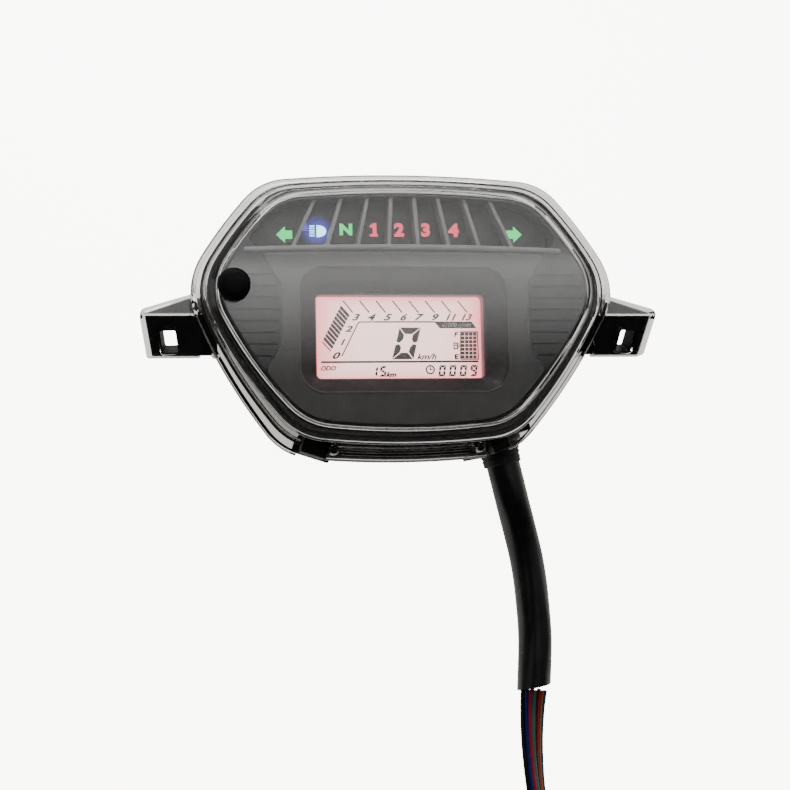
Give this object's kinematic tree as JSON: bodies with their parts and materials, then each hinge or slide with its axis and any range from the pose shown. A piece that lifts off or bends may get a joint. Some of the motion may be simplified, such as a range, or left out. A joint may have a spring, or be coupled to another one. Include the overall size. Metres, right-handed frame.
{
  "type": "motorcycle instrument cluster",
  "caption": "Digital motorcycle instrument cluster: tub housing, clear lens with two slotted ears, indicator row, backlit display, reset button and sleeved harness.",
  "frame": {"origin": "middle of the cluster, on the flat of the housing back", "axes": "+X to the rider's right across the dial, +Y up the dial, +Z out of the dial face"},
  "size_m": [0.2252, 0.3274, 0.0627],
  "materials": {
    "lens": "clear polycarbonate, polished outside, lightly streaked in its skirt",
    "housing": "black injection-moulded plastic, fine texture",
    "seal": "soft black rubber",
    "dial": "dark grey moulded plastic, fine matt texture",
    "film": "dark printed film with symbols left clear",
    "light_guide": "white moulded plastic",
    "display": "liquid crystal glass, backlit pink",
    "button": "matt black rubber",
    "board": "green solder mask",
    "chip": "black epoxy",
    "led": "translucent resin",
    "steel": "zinc-plated steel",
    "grommet": "black rubber",
    "sleeve": "smooth black vinyl sleeve with a soft sheen",
    "wire": "vinyl-coated wires in several colours",
    "connector": "natural nylon"
  },
  "bodies": {
    "housing": {"clear_lens": "lens", "rear_housing": "housing", "perimeter_seal": "seal", "dial_mask": "dial", "indicator_film": "film", "light_box": "light_guide", "lcd_glass": "display", "lcd_holder": "light_guide", "backlight_diffuser": "light_guide", "backlight_reflector": "light_guide", "zebra_strip_upper": "seal", "zebra_strip_lower": "seal", "circuit_board": "board", "microcontroller": "chip", "display_driver": "chip", "voltage_regulator": "chip", "crystal": "steel", "electrolytic_capacitor_1": "chip", "electrolytic_capacitor_2": "chip", "harness_header": "connector", "harness_plug": "connector", "button_spring": "steel", "tact_switch_body": "chip", "breather_disc": "light_guide", "cable_grommet": "grommet", "harness_sleeve": "sleeve", "wire_bundle": "wire", "harness_connector": "connector", "connector_lock": "connector", "turn_left_led": "led", "high_beam_led": "led", "neutral_led": "led", "gear_1_led": "led", "gear_2_led": "led", "gear_3_led": "led", "gear_4_led": "led", "turn_right_led": "led", "backlight_led_1": "led", "board_screw_1": "steel", "housing_screw_1": "steel", "backlight_led_2": "led", "board_screw_2": "steel", "housing_screw_2": "steel", "backlight_led_3": "led", "board_screw_3": "steel", "housing_screw_3": "steel", "backlight_led_4": "led", "board_screw_4": "steel", "housing_screw_4": "steel"},
    "reset_button": {"reset_button_cap": "button", "reset_button_stem": "light_guide"},
    "switch_plunger": {"tact_plunger": "chip"}
  },
  "joints": [
    {"name": "button_slide", "type": "slide", "parent": "housing", "child": "reset_button", "axis": [0, 0, -1], "range_m": [0, 0.001], "stiffness_N_per_m": 400, "deforming": ["button_spring"]},
    {"name": "plunger_slide", "type": "slide", "parent": "housing", "child": "switch_plunger", "axis": [0, 0, -1], "range_m": [0, 0.001]}
  ],
  "couplings": [
    {"joint": "plunger_slide", "follows": "button_slide", "ratio": 1}
  ]
}
